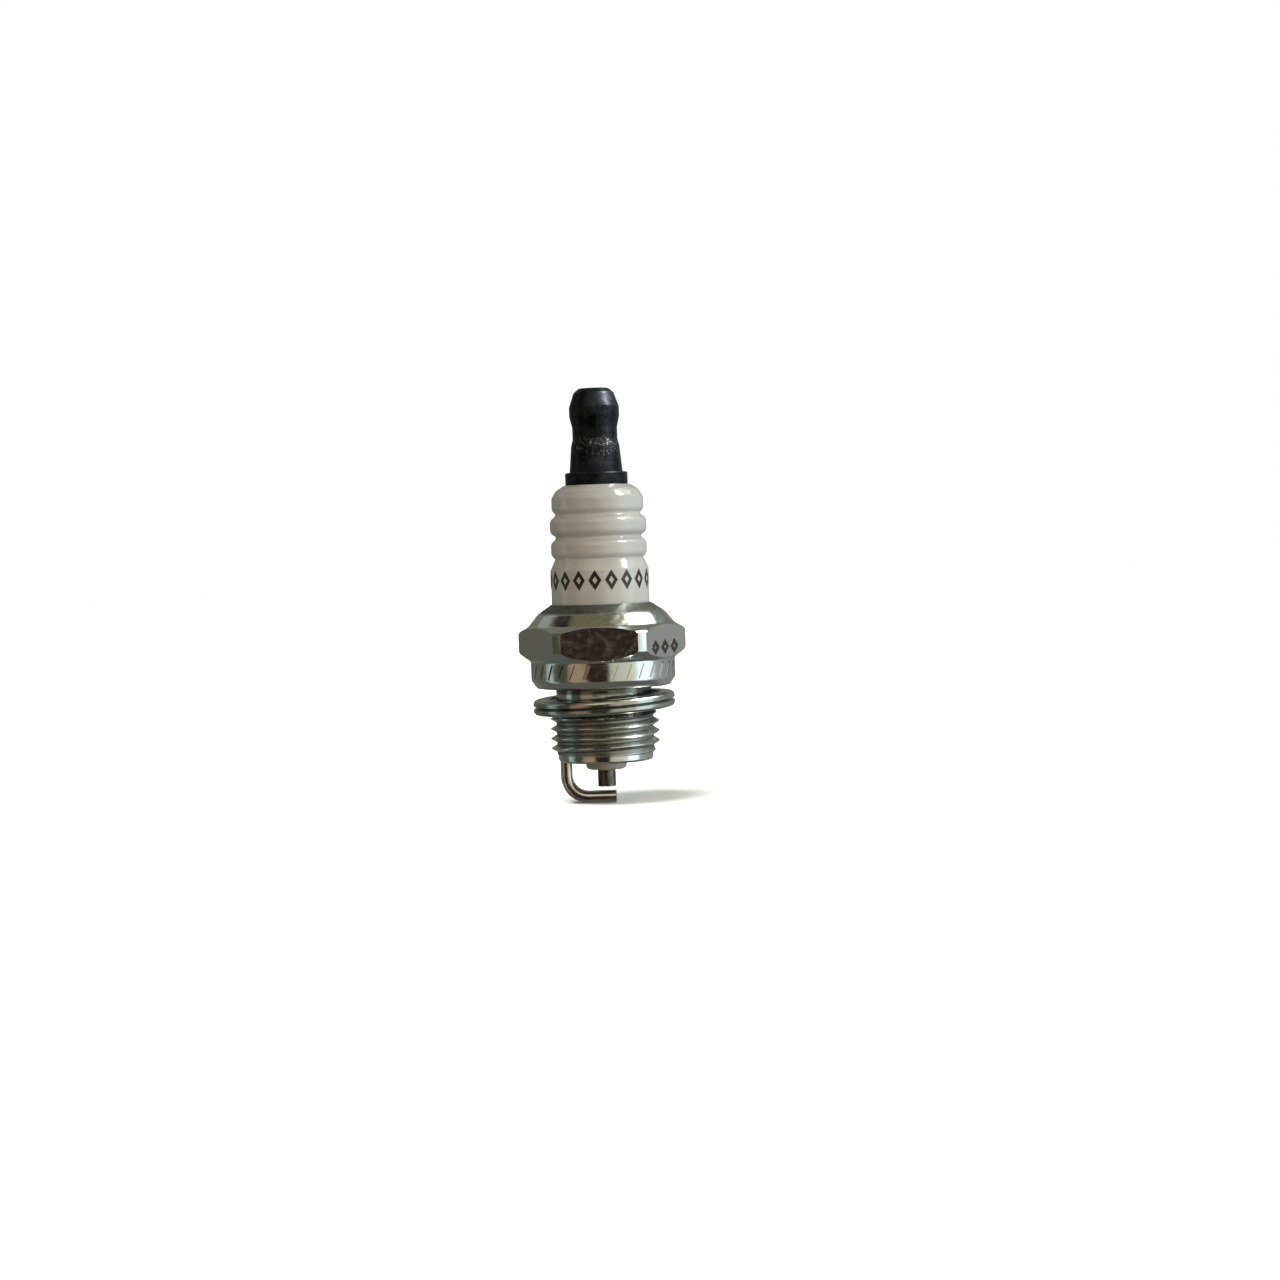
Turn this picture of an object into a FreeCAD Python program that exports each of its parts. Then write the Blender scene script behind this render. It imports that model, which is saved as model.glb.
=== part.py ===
import FreeCAD, Part
import math
import os
import re

import Sketcher
from FreeCAD import Placement, Rotation, Vector

# A short-reach spark plug: 14 mm thread, 19 mm hexagon, screw-on terminal nut.
# The axis is vertical. Height 0 is the seat, the flat underside of the shell's boss,
# with the terminal above it and the thread and the electrodes below it.
# The spark gap's strap stands on the -X side, and one hexagon flat faces -Y.

# ---- driving sizes, in millimetres and degrees ----
SIZES = {
    # shell: the wrench hexagon and the round boss under it
    "hex_across_flats": 19.0,
    "hex_corner_trim": 0.64,
    "hex_foot": 3.4,
    "hex_height": 4.5,
    "hex_chamfer_angle": 30.0,
    "hex_foot_chamfer_angle": 38.0,
    "boss_inset": 0.3,
    "boss_chamfer": 0.7,
    "boss_chamfer_rise": 1.0,
    # stamped slanted strokes round the boss
    "stroke_count": 33.0,
    "stroke_foot": 1.25,
    "stroke_height": 1.85,
    "stroke_width": 0.28,
    "stroke_depth": 0.12,
    "stroke_lean_angle": 23.0,
    # shell: the crimped collar above the hexagon
    "collar_inset": 0.2,
    "collar_rise": 1.45,
    "lip_wall": 0.8,
    "crimp_rise": 1.25,
    "crimp_edge": 0.58,
    "crimp_clearance": 0.1,
    # shell: neck, thread and end
    "thread_diameter": 13.9,
    "thread_pitch": 1.25,
    "neck_inset": 0.85,
    "neck_length": 2.6,
    "reach": 9.5,
    "pilot_inset": 0.9,
    "pilot_length": 0.9,
    "end_chamfer": 0.25,
    # shell: the inside
    "cavity_floor": 1.4,
    "cavity_floor_rise": 1.2,
    "neck_wall": 1.1,
    "sill_drop": 2.2,
    "end_wall": 1.7,
    # insulator: crown, ribs and grooves, by their drop from the top
    "insulator_top": 25.6,
    "crown_inset": 2.05,
    "crown_shoulder_inset": 1.05,
    "crown_shoulder_drop": 0.6,
    "rib_width": 1.6,
    "rib1_inset": 0.42,
    "rib1_drop": 2.35,
    "rib2_inset": 0.12,
    "rib2_drop": 5.2,
    "rib3_inset": 0.17,
    "rib3_drop": 8.1,
    "groove1_inset": 1.0,
    "groove1_drop": 3.69,
    "groove2_inset": 1.0,
    "groove2_drop": 6.56,
    "groove3_inset": 0.7,
    "groove3_drop": 9.23,
    "rib_rounding": 0.8,
    "groove_rounding": 0.28,
    "crown_rounding": 1.0,
    # insulator: barrel, the flange that the crimp holds, stem and nose
    "barrel_diameter": 12.5,
    "barrel_drop": 10.7,
    "barrel_foot_inset": 0.05,
    "barrel_foot_clearance": 0.1,
    "seal_space": 1.15,
    "flange_clearance": 0.1,
    "flange_top": 4.9,
    "flange_foot": 3.2,
    "flange_foot_drop": 1.3,
    "stem_clearance": 0.15,
    "nose_gap": 0.45,
    "nose_diameter": 5.06,
    "nose_projection": 1.1,
    "nose_rounding": 0.5,
    # centre electrode and the conductors above it
    "electrode_diameter": 2.3,
    "electrode_projection": 2.2,
    "electrode_clearance": 0.05,
    "electrode_head_gap": 0.2,
    "electrode_seat": 1.5,
    "electrode_head_top": 0.05,
    "sheath_thickness": 0.55,
    "copper_tip_cover": 1.3,
    "lower_seal_top": 2.2,
    "resistor_length": 6.0,
    "upper_seal_length": 3.3,
    "upper_seal_base": 1.0,
    # seals between the insulator and the shell
    "washer_thickness": 0.3,
    "washer_margin": 0.05,
    "sill_wire_diameter": 0.9,
    "talc_gap": 0.02,
    # terminal stud
    "stud_diameter": 3.94,
    "stud_pitch": 0.7,
    "stud_rise": 8.4,
    "stud_chamfer": 0.4,
    "stud_sunk_thread": 0.6,
    "stud_clearance": 0.13,
    "shank_inset": 0.32,
    "knurl_inset": 0.12,
    "knurl_length": 3.2,
    "knurl_count": 16.0,
    "knurl_depth": 0.15,
    "knurl_width": 0.25,
    # terminal nut
    "nut_lift": 0.05,
    "nut_height": 12.2,
    "nut_flange_diameter": 7.95,
    "nut_flange_height": 1.55,
    "nut_cone_foot_diameter": 6.75,
    "nut_cone_top_diameter": 6.15,
    "nut_cone_top": 4.9,
    "nut_neck_diameter": 5.7,
    "nut_neck_foot": 5.75,
    "nut_neck_top": 7.2,
    "nut_head_diameter": 6.35,
    "nut_land_foot": 8.65,
    "nut_land_top": 9.85,
    "nut_crown_diameter": 5.1,
    "nut_crown_drop": 0.55,
    "nut_top_diameter": 3.8,
    "nut_rounding": 0.7,
    "nut_flange_rounding": 0.2,
    "nut_crown_rounding": 0.4,
    "nut_bore_clearance": 0.06,
    "nut_bore_end_gap": 0.4,
    # folded steel gasket, loose on the neck
    "gasket_thread_clearance": 0.15,
    "gasket_width": 1.95,
    "gasket_thickness": 1.86,
    "gasket_skirt": 0.45,
    "gasket_groove_depth": 0.5,
    "gasket_groove_width": 0.4,
    "gasket_rounding": 0.5,
    "gasket_lean_angle": 2.2,
    "gasket_dip_angle": 1.1,
    "lug_count": 4.0,
    "lug_clearance": 0.4,
    "lug_width": 1.4,
    "lug_height": 0.5,
    "lug_clearance_below": 0.1,
    "lug_root": 0.3,
    # ground electrode
    "strap_thickness": 1.45,
    "strap_width": 2.6,
    "strap_setback": 0.2,
    "strap_bend_radius": 2.8,
    "strap_rounding": 0.62,
    "strap_rounding_share": 0.45,
    "spark_gap": 0.6,
}

doc = FreeCAD.newDocument("SparkPlug")
sheet = doc.addObject("Spreadsheet::Sheet", "Sizes")
for row, (alias, number) in enumerate(SIZES.items(), start=1):
    sheet.set(f"A{row}", alias)
    sheet.set(f"B{row}", str(number))
    sheet.setAlias(f"B{row}", alias)
doc.recompute()


# ---- helpers ----
def formula(words):
    """Point each size name in an expression at its cell of the sheet."""
    return re.sub(r"[a-z]\w+", lambda word: cell(word.group()), words)


def cell(word):
    return f"Sizes.{word}" if word in SIZES else word


def number(words):
    """The value that an expression of size names has now."""
    return float(sheet.evalExpression(formula(words)))


def bind(thing, prop, words):
    thing.setExpression(prop, formula(words))


def origin_plane(body, role):
    return next(x for x in body.Origin.OriginFeatures if x.Role == role)


def new_body(label):
    body = doc.addObject("PartDesign::Body", label)
    body.Label = label
    return body


def new_sketch(body, name, role):
    sketch = body.newObject("Sketcher::SketchObject", name)
    sketch.AttachmentSupport = [(origin_plane(body, role), "")]
    sketch.MapMode = "FlatFace"
    return sketch


def pin_point(sketch, index, x_words, y_words, end=1):
    """Hold one end of line index at a place given by two expressions."""
    for kind, words, axis in (("DistanceX", x_words, -2), ("DistanceY", y_words, -1)):
        if words == "0":
            sketch.addConstraint(Sketcher.Constraint("PointOnObject", index, end, axis))
            continue
        held = sketch.addConstraint(
            Sketcher.Constraint(kind, -1, 1, index, end, number(words))
        )
        sketch.renameConstraint(held, f"{kind}{index}")
        bind(sketch, f"Constraints.{kind}{index}", words)


def outline(sketch, corners):
    """Draw a closed polygon whose corners are pairs of expressions."""
    places = [Vector(number(x), number(y), 0) for x, y in corners]
    count = len(places)
    for i in range(count):
        sketch.addGeometry(Part.LineSegment(places[i], places[(i + 1) % count]))
    for i in range(count):
        after = (i + 1) % count
        sketch.addConstraint(Sketcher.Constraint("Coincident", i, 2, after, 1))
    for i, (x, y) in enumerate(corners):
        pin_point(sketch, i, x, y)


def turn(body, name, corners):
    """Turn a half section of (radius, height) corners round the upright axis."""
    sketch = new_sketch(body, name + "Section", "XZ_Plane")
    outline(sketch, corners)
    solid = body.newObject("PartDesign::Revolution", name)
    solid.Profile = sketch
    solid.ReferenceAxis = (sketch, ["V_Axis"])
    solid.Angle = 360
    doc.recompute()
    return solid


def ring_edges(solid, places):
    """Names of the round edges of a turned solid at (radius, height) places."""
    names = []
    for radius, height in places:
        r, z = number(radius), number(height)
        for i, edge in enumerate(solid.Shape.Edges, start=1):
            curve = edge.Curve
            if not isinstance(curve, Part.Circle):
                continue
            if abs(curve.Radius - r) < 1e-4 and abs(curve.Center.z - z) < 1e-4:
                names.append(f"Edge{i}")
    return names


def round_off(body, name, solid, places, radius_words):
    fillet = body.newObject("PartDesign::Fillet", name)
    fillet.Base = (solid, ring_edges(solid, places))
    bind(fillet, "Radius", radius_words)
    doc.recompute()
    return fillet


def check_cut(feature, before):
    """Stop where a cut took nothing away."""
    if feature.Shape.Volume > before - 1e-6:
        raise RuntimeError(f"{feature.Label} cuts nothing")


def cut(body, name, sketch, depth_words=None):
    """Cut a sketch's outline: right through, or along the sketch's own normal."""
    before = body.Tip.Shape.Volume
    pocket = body.newObject("PartDesign::Pocket", name)
    pocket.Profile = sketch
    if depth_words is None:
        pocket.Type = "ThroughAll"
        pocket.Midplane = True
    else:
        pocket.Reversed = True
        bind(pocket, "Length", depth_words)
    doc.recompute()
    check_cut(pocket, before)
    return pocket


def around(body, name, feature, count_words):
    """Repeat a feature evenly round the upright axis."""
    pattern = body.newObject("PartDesign::PolarPattern", name)
    pattern.Originals = [feature]
    pattern.Axis = (origin_plane(body, "Z_Axis"), [""])
    pattern.Angle = 360
    bind(pattern, "Occurrences", count_words)
    body.Tip = pattern
    doc.recompute()
    return pattern


def cut_thread(body, name, pitch, crest, bottom, top):
    """Cut a right-hand 60 degree groove; crest is the thread's outer radius."""
    deep = f"({crest} - 0.6134 * {pitch})"
    out = f"({crest} + 0.2 * {pitch})"
    half_root = f"{pitch} / 8"
    half_mouth = f"({pitch} / 8 + (0.6134 + 0.2) * {pitch} * tan(30))"
    sketch = new_sketch(body, name + "Groove", "XZ_Plane")
    outline(
        sketch,
        [
            (deep, f"{bottom} - {half_root}"),
            (out, f"{bottom} - {half_mouth}"),
            (out, f"{bottom} + {half_mouth}"),
            (deep, f"{bottom} + {half_root}"),
        ],
    )
    before = body.Tip.Shape.Volume
    helix = body.newObject("PartDesign::SubtractiveHelix", name)
    helix.Profile = sketch
    helix.ReferenceAxis = (sketch, ["V_Axis"])
    helix.Mode = "pitch-height-angle"
    bind(helix, "Pitch", pitch)
    bind(helix, "Height", f"{top} - ({bottom})")
    helix.Angle = 0
    helix.LeftHanded = False
    helix.Reversed = False
    doc.recompute()
    check_cut(helix, before)


# ---- radii and heights that several pieces share, as expressions of the sizes ----
CORNER_R = "(hex_across_flats / 2 / cos(30) - hex_corner_trim / 2)"
BOSS_R = "(hex_across_flats / 2 - boss_inset)"
COLLAR_R = "(hex_across_flats / 2 - collar_inset)"
THREAD_R = "(thread_diameter / 2)"
NECK_R = f"({THREAD_R} - neck_inset)"
PILOT_R = f"({THREAD_R} - pilot_inset)"
SLEEVE_R = f"({NECK_R} - neck_wall)"
NOSE_BORE_R = f"({PILOT_R} - end_wall)"
BARREL_R = "(barrel_diameter / 2)"
BARREL_FOOT_R = f"({BARREL_R} - barrel_foot_inset)"
CAVITY_R = f"({BARREL_FOOT_R} + seal_space)"
CRIMP_R = f"({BARREL_FOOT_R} + crimp_clearance)"
FLANGE_R = f"({CAVITY_R} - flange_clearance)"
STEM_R = f"({SLEEVE_R} - stem_clearance)"
NOSE_ROOT_R = f"({NOSE_BORE_R} - nose_gap)"
STUD_R = "(stud_diameter / 2)"
CORE_R = f"({STUD_R} + stud_clearance)"
KNURL_R = f"({STUD_R} - knurl_inset)"
ELECTRODE_R = "(electrode_diameter / 2)"
ELECTRODE_HOLE_R = f"({ELECTRODE_R} + electrode_clearance)"
ELECTRODE_HEAD_R = f"({CORE_R} - electrode_head_gap)"
COPPER_R = f"({ELECTRODE_R} - sheath_thickness)"
WIRE_R = "(sill_wire_diameter / 2)"
RING_R = f"(({CAVITY_R} + {BARREL_FOOT_R}) / 2)"
GASKET_BORE_R = f"({THREAD_R} + gasket_thread_clearance)"
GASKET_R = f"({GASKET_BORE_R} + gasket_width)"

HEX_TOP = "(hex_foot + hex_height)"
LIP_FOOT = f"({HEX_TOP} + collar_rise)"
CRIMP_TOP = f"({LIP_FOOT} + crimp_rise)"
BARREL_FOOT_TOP = f"({CRIMP_TOP} + barrel_foot_clearance)"
LIP_UNDER = f"({CRIMP_TOP} - crimp_edge)"
CAVITY_TOP = f"({LIP_UNDER} - ({CAVITY_R} - {CRIMP_R}))"
THREAD_TOP = "(-neck_length - neck_inset)"
SILL_TOP = "(-sill_drop)"
SILL_FOOT = f"({SILL_TOP} - ({SLEEVE_R} - {NOSE_BORE_R}))"
STEM_FOOT = f"({SILL_TOP} - stem_clearance + washer_thickness * sqrt(2))"
NOSE_ROOT = f"({STEM_FOOT} - ({STEM_R} - {NOSE_ROOT_R}))"
NOSE_TIP = "(-reach - nose_projection)"
ELECTRODE_TIP = f"({NOSE_TIP} - electrode_projection)"
COPPER_FOOT = f"({ELECTRODE_TIP} + copper_tip_cover)"
CORE_FLOOR = f"(-electrode_seat + {CORE_R} - {ELECTRODE_HOLE_R})"
HEAD_FOOT = f"(-electrode_seat + {ELECTRODE_HEAD_R} - {ELECTRODE_HOLE_R})"
UPPER_SEAL_FOOT = "(lower_seal_top + resistor_length)"
STUD_FOOT = f"({UPPER_SEAL_FOOT} + upper_seal_base)"
STUD_TOP = "(insulator_top + stud_rise)"
NUT_FOOT = "(insulator_top + nut_lift)"
LOWER_RING = f"(flange_top + {FLANGE_R} - {RING_R} + {WIRE_R} * sqrt(2))"
UPPER_RING = f"({CAVITY_TOP} + {CAVITY_R} - {RING_R} - {WIRE_R} * sqrt(2))"
GASKET_HEIGHT = "(-neck_length - gasket_skirt + gasket_thickness / 2)"
ARM_MIDDLE = f"({ELECTRODE_TIP} - spark_gap - strap_thickness / 2)"
LEG_MIDDLE = f"({PILOT_R} - strap_setback - strap_thickness / 2)"


# ---- the pieces ----
def shell():
    """Steel shell: turned all over, then the hexagon, the strokes and the thread."""
    body = new_body("shell")
    turn(
        body,
        "ShellTurned",
        [
            (NOSE_BORE_R, "-reach"),
            (f"{PILOT_R} - end_chamfer", "-reach"),
            (PILOT_R, "-reach + end_chamfer"),
            (PILOT_R, "-reach + pilot_length"),
            (THREAD_R, "-reach + pilot_length + pilot_inset"),
            (THREAD_R, THREAD_TOP),
            (NECK_R, "-neck_length"),
            (NECK_R, "0"),
            (f"{BOSS_R} - boss_chamfer", "0"),
            (BOSS_R, "boss_chamfer_rise"),
            (BOSS_R, "hex_foot"),
            (CORNER_R, f"hex_foot + ({CORNER_R} - {BOSS_R}) * tan(hex_foot_chamfer_angle)"),
            (CORNER_R, f"{HEX_TOP} - ({CORNER_R} - {COLLAR_R}) * tan(hex_chamfer_angle)"),
            (COLLAR_R, HEX_TOP),
            (f"{CAVITY_R} + lip_wall", LIP_FOOT),
            (CRIMP_R, CRIMP_TOP),
            (CRIMP_R, LIP_UNDER),
            (CAVITY_R, CAVITY_TOP),
            (CAVITY_R, "cavity_floor + cavity_floor_rise"),
            (SLEEVE_R, "cavity_floor"),
            (SLEEVE_R, SILL_TOP),
            (NOSE_BORE_R, SILL_FOOT),
        ],
    )
    beyond = "hex_across_flats"
    flats = new_sketch(body, "FlatOutline", "XY_Plane")
    outline(
        flats,
        [
            (f"-{CORNER_R}", "hex_across_flats / 2"),
            (CORNER_R, "hex_across_flats / 2"),
            (CORNER_R, beyond),
            (f"-{CORNER_R}", beyond),
        ],
    )
    around(body, "Flats", cut(body, "Flat", flats), "6")

    lean = "stroke_height / 2 * tan(stroke_lean_angle)"
    wide = "stroke_width / 2"
    top = "stroke_foot + stroke_height"
    strokes = new_sketch(body, "StrokeOutline", "XZ_Plane")
    bind(strokes, "AttachmentOffset.Base.z", f"{BOSS_R} - stroke_depth")
    outline(
        strokes,
        [
            (f"-{lean} - {wide}", "stroke_foot"),
            (f"-{lean} + {wide}", "stroke_foot"),
            (f"{lean} + {wide}", top),
            (f"{lean} - {wide}", top),
        ],
    )
    stroke = cut(body, "Stroke", strokes, "stroke_depth * 2")
    around(body, "Strokes", stroke, "stroke_count")

    thread_start = "-reach + 0.4 * thread_pitch"
    thread_end = f"{THREAD_TOP} + thread_pitch"
    cut_thread(body, "Thread", "thread_pitch", THREAD_R, thread_start, thread_end)
    return body


def insulator():
    """Glazed ceramic insulator, bored right through in two steps."""
    body = new_body("insulator")
    top = "insulator_top"
    ribs = []
    for k in (3, 2, 1):
        rib = f"{BARREL_R} - rib{k}_inset"
        ribs.append((f"{BARREL_R} - groove{k}_inset", f"{top} - groove{k}_drop"))
        ribs.append((rib, f"{top} - rib{k}_drop - rib_width / 2"))
        ribs.append((rib, f"{top} - rib{k}_drop + rib_width / 2"))
    barrel_top = (BARREL_R, f"{top} - barrel_drop")
    shoulder = (f"{BARREL_R} - crown_shoulder_inset", f"{top} - crown_shoulder_drop")
    nose_edge = ("nose_diameter / 2", NOSE_TIP)
    solid = turn(
        body,
        "InsulatorTurned",
        [
            (ELECTRODE_HOLE_R, NOSE_TIP),
            nose_edge,
            (NOSE_ROOT_R, NOSE_ROOT),
            (STEM_R, STEM_FOOT),
            (STEM_R, "flange_foot - flange_foot_drop"),
            (FLANGE_R, "flange_foot"),
            (FLANGE_R, "flange_top"),
            (BARREL_FOOT_R, f"flange_top + {FLANGE_R} - {BARREL_FOOT_R}"),
            (BARREL_FOOT_R, BARREL_FOOT_TOP),
            (BARREL_R, BARREL_FOOT_TOP),
            barrel_top,
            *ribs,
            shoulder,
            (f"{BARREL_R} - crown_inset", top),
            (CORE_R, top),
            (CORE_R, CORE_FLOOR),
            (ELECTRODE_HOLE_R, "-electrode_seat"),
        ],
    )
    grooves = ribs[0::3]
    edges = ribs[1::3] + ribs[2::3] + [barrel_top]
    solid = round_off(body, "RibRounding", solid, edges, "rib_rounding")
    solid = round_off(body, "GrooveRounding", solid, grooves, "groove_rounding")
    solid = round_off(body, "CrownRounding", solid, [shoulder], "crown_rounding")
    round_off(body, "NoseRounding", solid, [nose_edge], "nose_rounding")
    return body


def terminal_nut():
    """Screw-on terminal: flange, cone, waist and the head that a cap snaps over."""
    body = new_body("terminal_nut")
    bore = f"{STUD_R} + nut_bore_clearance"
    bore_top = f"{STUD_TOP} + nut_bore_end_gap"

    def at(height):
        return f"{NUT_FOOT} + {height}"

    flange = ("nut_flange_diameter / 2", at("nut_flange_height"))
    cone_top = ("nut_cone_top_diameter / 2", at("nut_cone_top"))
    neck_foot = ("nut_neck_diameter / 2", at("nut_neck_foot"))
    neck_top = ("nut_neck_diameter / 2", at("nut_neck_top"))
    land_foot = ("nut_head_diameter / 2", at("nut_land_foot"))
    land_top = ("nut_head_diameter / 2", at("nut_land_top"))
    crown = ("nut_crown_diameter / 2", at("nut_height - nut_crown_drop"))
    top_edge = ("nut_top_diameter / 2", at("nut_height"))
    solid = turn(
        body,
        "NutTurned",
        [
            (bore, NUT_FOOT),
            ("nut_flange_diameter / 2", NUT_FOOT),
            flange,
            ("nut_cone_foot_diameter / 2", at("nut_flange_height")),
            cone_top,
            neck_foot,
            neck_top,
            land_foot,
            land_top,
            crown,
            top_edge,
            ("0", at("nut_height")),
            ("0", bore_top),
            (bore, bore_top),
        ],
    )
    waist = [neck_foot, neck_top, land_foot, land_top]
    solid = round_off(body, "WaistRounding", solid, waist, "nut_rounding")
    solid = round_off(body, "CrownEdge", solid, [crown, top_edge], "nut_crown_rounding")
    edges = [flange, cone_top]
    round_off(body, "FlangeEdge", solid, edges, "nut_flange_rounding")
    return body


def terminal_stud():
    """Steel stud: knurled foot fired into the glass, threaded end for the nut."""
    body = new_body("terminal_stud")
    shank = f"{STUD_R} - shank_inset"
    thread_foot = "insulator_top - stud_sunk_thread"
    knurl_top = f"{STUD_FOOT} + knurl_length"
    turn(
        body,
        "StudTurned",
        [
            ("0", STUD_FOOT),
            (KNURL_R, STUD_FOOT),
            (KNURL_R, knurl_top),
            (shank, f"{knurl_top} + shank_inset"),
            (shank, f"{thread_foot} - shank_inset"),
            (STUD_R, thread_foot),
            (STUD_R, f"{STUD_TOP} - stud_chamfer"),
            (f"{STUD_R} - stud_chamfer", STUD_TOP),
            ("0", STUD_TOP),
        ],
    )
    groove = new_sketch(body, "KnurlOutline", "XY_Plane")
    bind(groove, "AttachmentOffset.Base.z", STUD_FOOT)
    outline(
        groove,
        [
            (f"{KNURL_R} - knurl_depth", "0"),
            (f"{KNURL_R} + knurl_depth", "-knurl_width"),
            (f"{KNURL_R} + knurl_depth", "knurl_width"),
        ],
    )
    knurl = cut(body, "Knurl", groove, "knurl_length")
    around(body, "Knurls", knurl, "knurl_count")
    thread_start = f"{thread_foot} - stud_pitch"
    thread_end = f"{STUD_TOP} + stud_pitch"
    cut_thread(body, "StudThread", "stud_pitch", STUD_R, thread_start, thread_end)
    return body


def plain_turned(label, corners):
    """A piece that is one turned solid and nothing more."""
    body = new_body(label)
    turn(body, label.title().replace("_", "") + "Turned", corners)
    return body


def centre_electrode():
    """Nickel electrode with a coned head, drilled from the top for its copper core."""
    return plain_turned(
        "centre_electrode",
        [
            ("0", ELECTRODE_TIP),
            (ELECTRODE_R, ELECTRODE_TIP),
            (ELECTRODE_R, "-electrode_seat - electrode_clearance"),
            (ELECTRODE_HEAD_R, HEAD_FOOT),
            (ELECTRODE_HEAD_R, "electrode_head_top"),
            (COPPER_R, "electrode_head_top"),
            (COPPER_R, COPPER_FOOT),
            ("0", COPPER_FOOT),
        ],
    )


def rod(label, radius, foot, top):
    """A plain round bar on the axis."""
    return plain_turned(label, [("0", foot), (radius, foot), (radius, top), ("0", top)])


def copper_core():
    return rod("copper_core", COPPER_R, COPPER_FOOT, "electrode_head_top")


def lower_glass_seal():
    """Glass fired round the electrode's head."""
    return plain_turned(
        "lower_glass_seal",
        [
            ("0", "electrode_head_top"),
            (ELECTRODE_HEAD_R, "electrode_head_top"),
            (ELECTRODE_HEAD_R, HEAD_FOOT),
            (CORE_R, CORE_FLOOR),
            (CORE_R, "lower_seal_top"),
            ("0", "lower_seal_top"),
        ],
    )


def resistor():
    return rod("resistor", CORE_R, "lower_seal_top", UPPER_SEAL_FOOT)


def upper_glass_seal():
    """Glass cup that holds the stud's knurled foot."""
    brim = f"{UPPER_SEAL_FOOT} + upper_seal_length"
    return plain_turned(
        "upper_glass_seal",
        [
            ("0", UPPER_SEAL_FOOT),
            (CORE_R, UPPER_SEAL_FOOT),
            (CORE_R, brim),
            (KNURL_R, brim),
            (KNURL_R, STUD_FOOT),
            ("0", STUD_FOOT),
        ],
    )


def seat_washer():
    """Coned steel washer between the shell's sill and the insulator's shoulder."""
    inner = f"{NOSE_BORE_R} + washer_margin"
    outer = f"{SLEEVE_R} - washer_margin"
    inner_height = f"{SILL_FOOT} + washer_margin"
    outer_height = f"{SILL_TOP} - washer_margin"
    slant = "washer_thickness * sqrt(0.5)"
    return plain_turned(
        "seat_washer",
        [
            (inner, inner_height),
            (outer, outer_height),
            (f"{outer} - {slant}", f"{outer_height} + {slant}"),
            (f"{inner} - {slant}", f"{inner_height} + {slant}"),
        ],
    )


def sill_ring(label, height):
    """Steel wire ring that the crimp squeezes."""
    ring = doc.addObject("Part::Torus", label)
    ring.Label = label
    bind(ring, "Radius1", RING_R)
    bind(ring, "Radius2", WIRE_R)
    bind(ring, "Placement.Base.z", height)
    return ring


def talc_packing():
    """Pressed talc between the two wire rings."""
    foot = f"{LOWER_RING} + {WIRE_R} + talc_gap"
    top = f"{UPPER_RING} - {WIRE_R} - talc_gap"
    corners = [(BARREL_FOOT_R, foot), (CAVITY_R, foot), (CAVITY_R, top)]
    return plain_turned("talc_packing", [*corners, (BARREL_FOOT_R, top)])


def gasket():
    """Folded steel crush ring, modelled level and hung a little askew on the neck."""
    body = new_body("gasket")
    half = "gasket_thickness / 2"
    lip = "gasket_groove_width / 2"
    rims = [
        (GASKET_R, f"-{half}"),
        (GASKET_R, half),
        (GASKET_BORE_R, half),
        (GASKET_BORE_R, f"-{half}"),
    ]
    groove = [
        (GASKET_R, f"-{lip}"),
        (f"{GASKET_R} - gasket_groove_depth", "0"),
        (GASKET_R, lip),
    ]
    solid = turn(body, "GasketTurned", [rims[0], *groove, *rims[1:]])
    round_off(body, "RimRounding", solid, rims, "gasket_rounding")
    inner = f"{NECK_R} + lug_clearance"
    root = f"{GASKET_BORE_R} + lug_root"
    wide = "lug_width / 2"
    sketch = new_sketch(body, "LugOutline", "XY_Plane")
    bind(sketch, "AttachmentOffset.Base.z", f"-{half} + gasket_skirt + lug_clearance_below")
    outline(
        sketch,
        [(inner, f"-{wide}"), (root, f"-{wide}"), (root, wide), (inner, wide)],
    )
    lug = body.newObject("PartDesign::Pad", "Lug")
    lug.Profile = sketch
    bind(lug, "Length", "lug_height")
    doc.recompute()
    around(body, "Lugs", lug, "lug_count")
    lean = Rotation(Vector(0, 1, 0), -number("gasket_lean_angle"))
    dip = Rotation(Vector(1, 0, 0), number("gasket_dip_angle"))
    body.Placement = Placement(Vector(0, 0, number(GASKET_HEIGHT)), lean * dip)
    bind(body, "Placement.Base.z", GASKET_HEIGHT)
    return body


def strap_path(body):
    """The strap's middle line: down the leg, round the bend, along the arm."""
    path = new_sketch(body, "StrapPath", "XZ_Plane")
    leg, arm, tip = -number(LEG_MIDDLE), number(ARM_MIDDLE), number(ELECTRODE_R)
    radius = number("strap_bend_radius")
    centre = Vector(leg + radius, arm + radius, 0)
    leg_top, leg_foot = Vector(leg, -number("reach"), 0), Vector(leg, centre.y, 0)
    arm_foot, arm_tip = Vector(centre.x, arm, 0), Vector(tip, arm, 0)
    circle = Part.Circle(centre, Vector(0, 0, 1), radius)
    path.addGeometry(Part.LineSegment(leg_top, leg_foot))
    path.addGeometry(Part.ArcOfCircle(circle, math.pi, 1.5 * math.pi))
    path.addGeometry(Part.LineSegment(arm_foot, arm_tip))
    path.addConstraint(Sketcher.Constraint("Tangent", 0, 2, 1, 1))
    path.addConstraint(Sketcher.Constraint("Tangent", 1, 2, 2, 1))
    path.addConstraint(Sketcher.Constraint("Vertical", 0))
    path.addConstraint(Sketcher.Constraint("Horizontal", 2))
    pin_point(path, 0, f"-{LEG_MIDDLE}", "-reach")
    pin_point(path, 2, ELECTRODE_R, ARM_MIDDLE, end=2)
    held = path.addConstraint(Sketcher.Constraint("Radius", 1, radius))
    path.renameConstraint(held, "bend")
    bind(path, "Constraints.bend", "strap_bend_radius")
    return path


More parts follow.
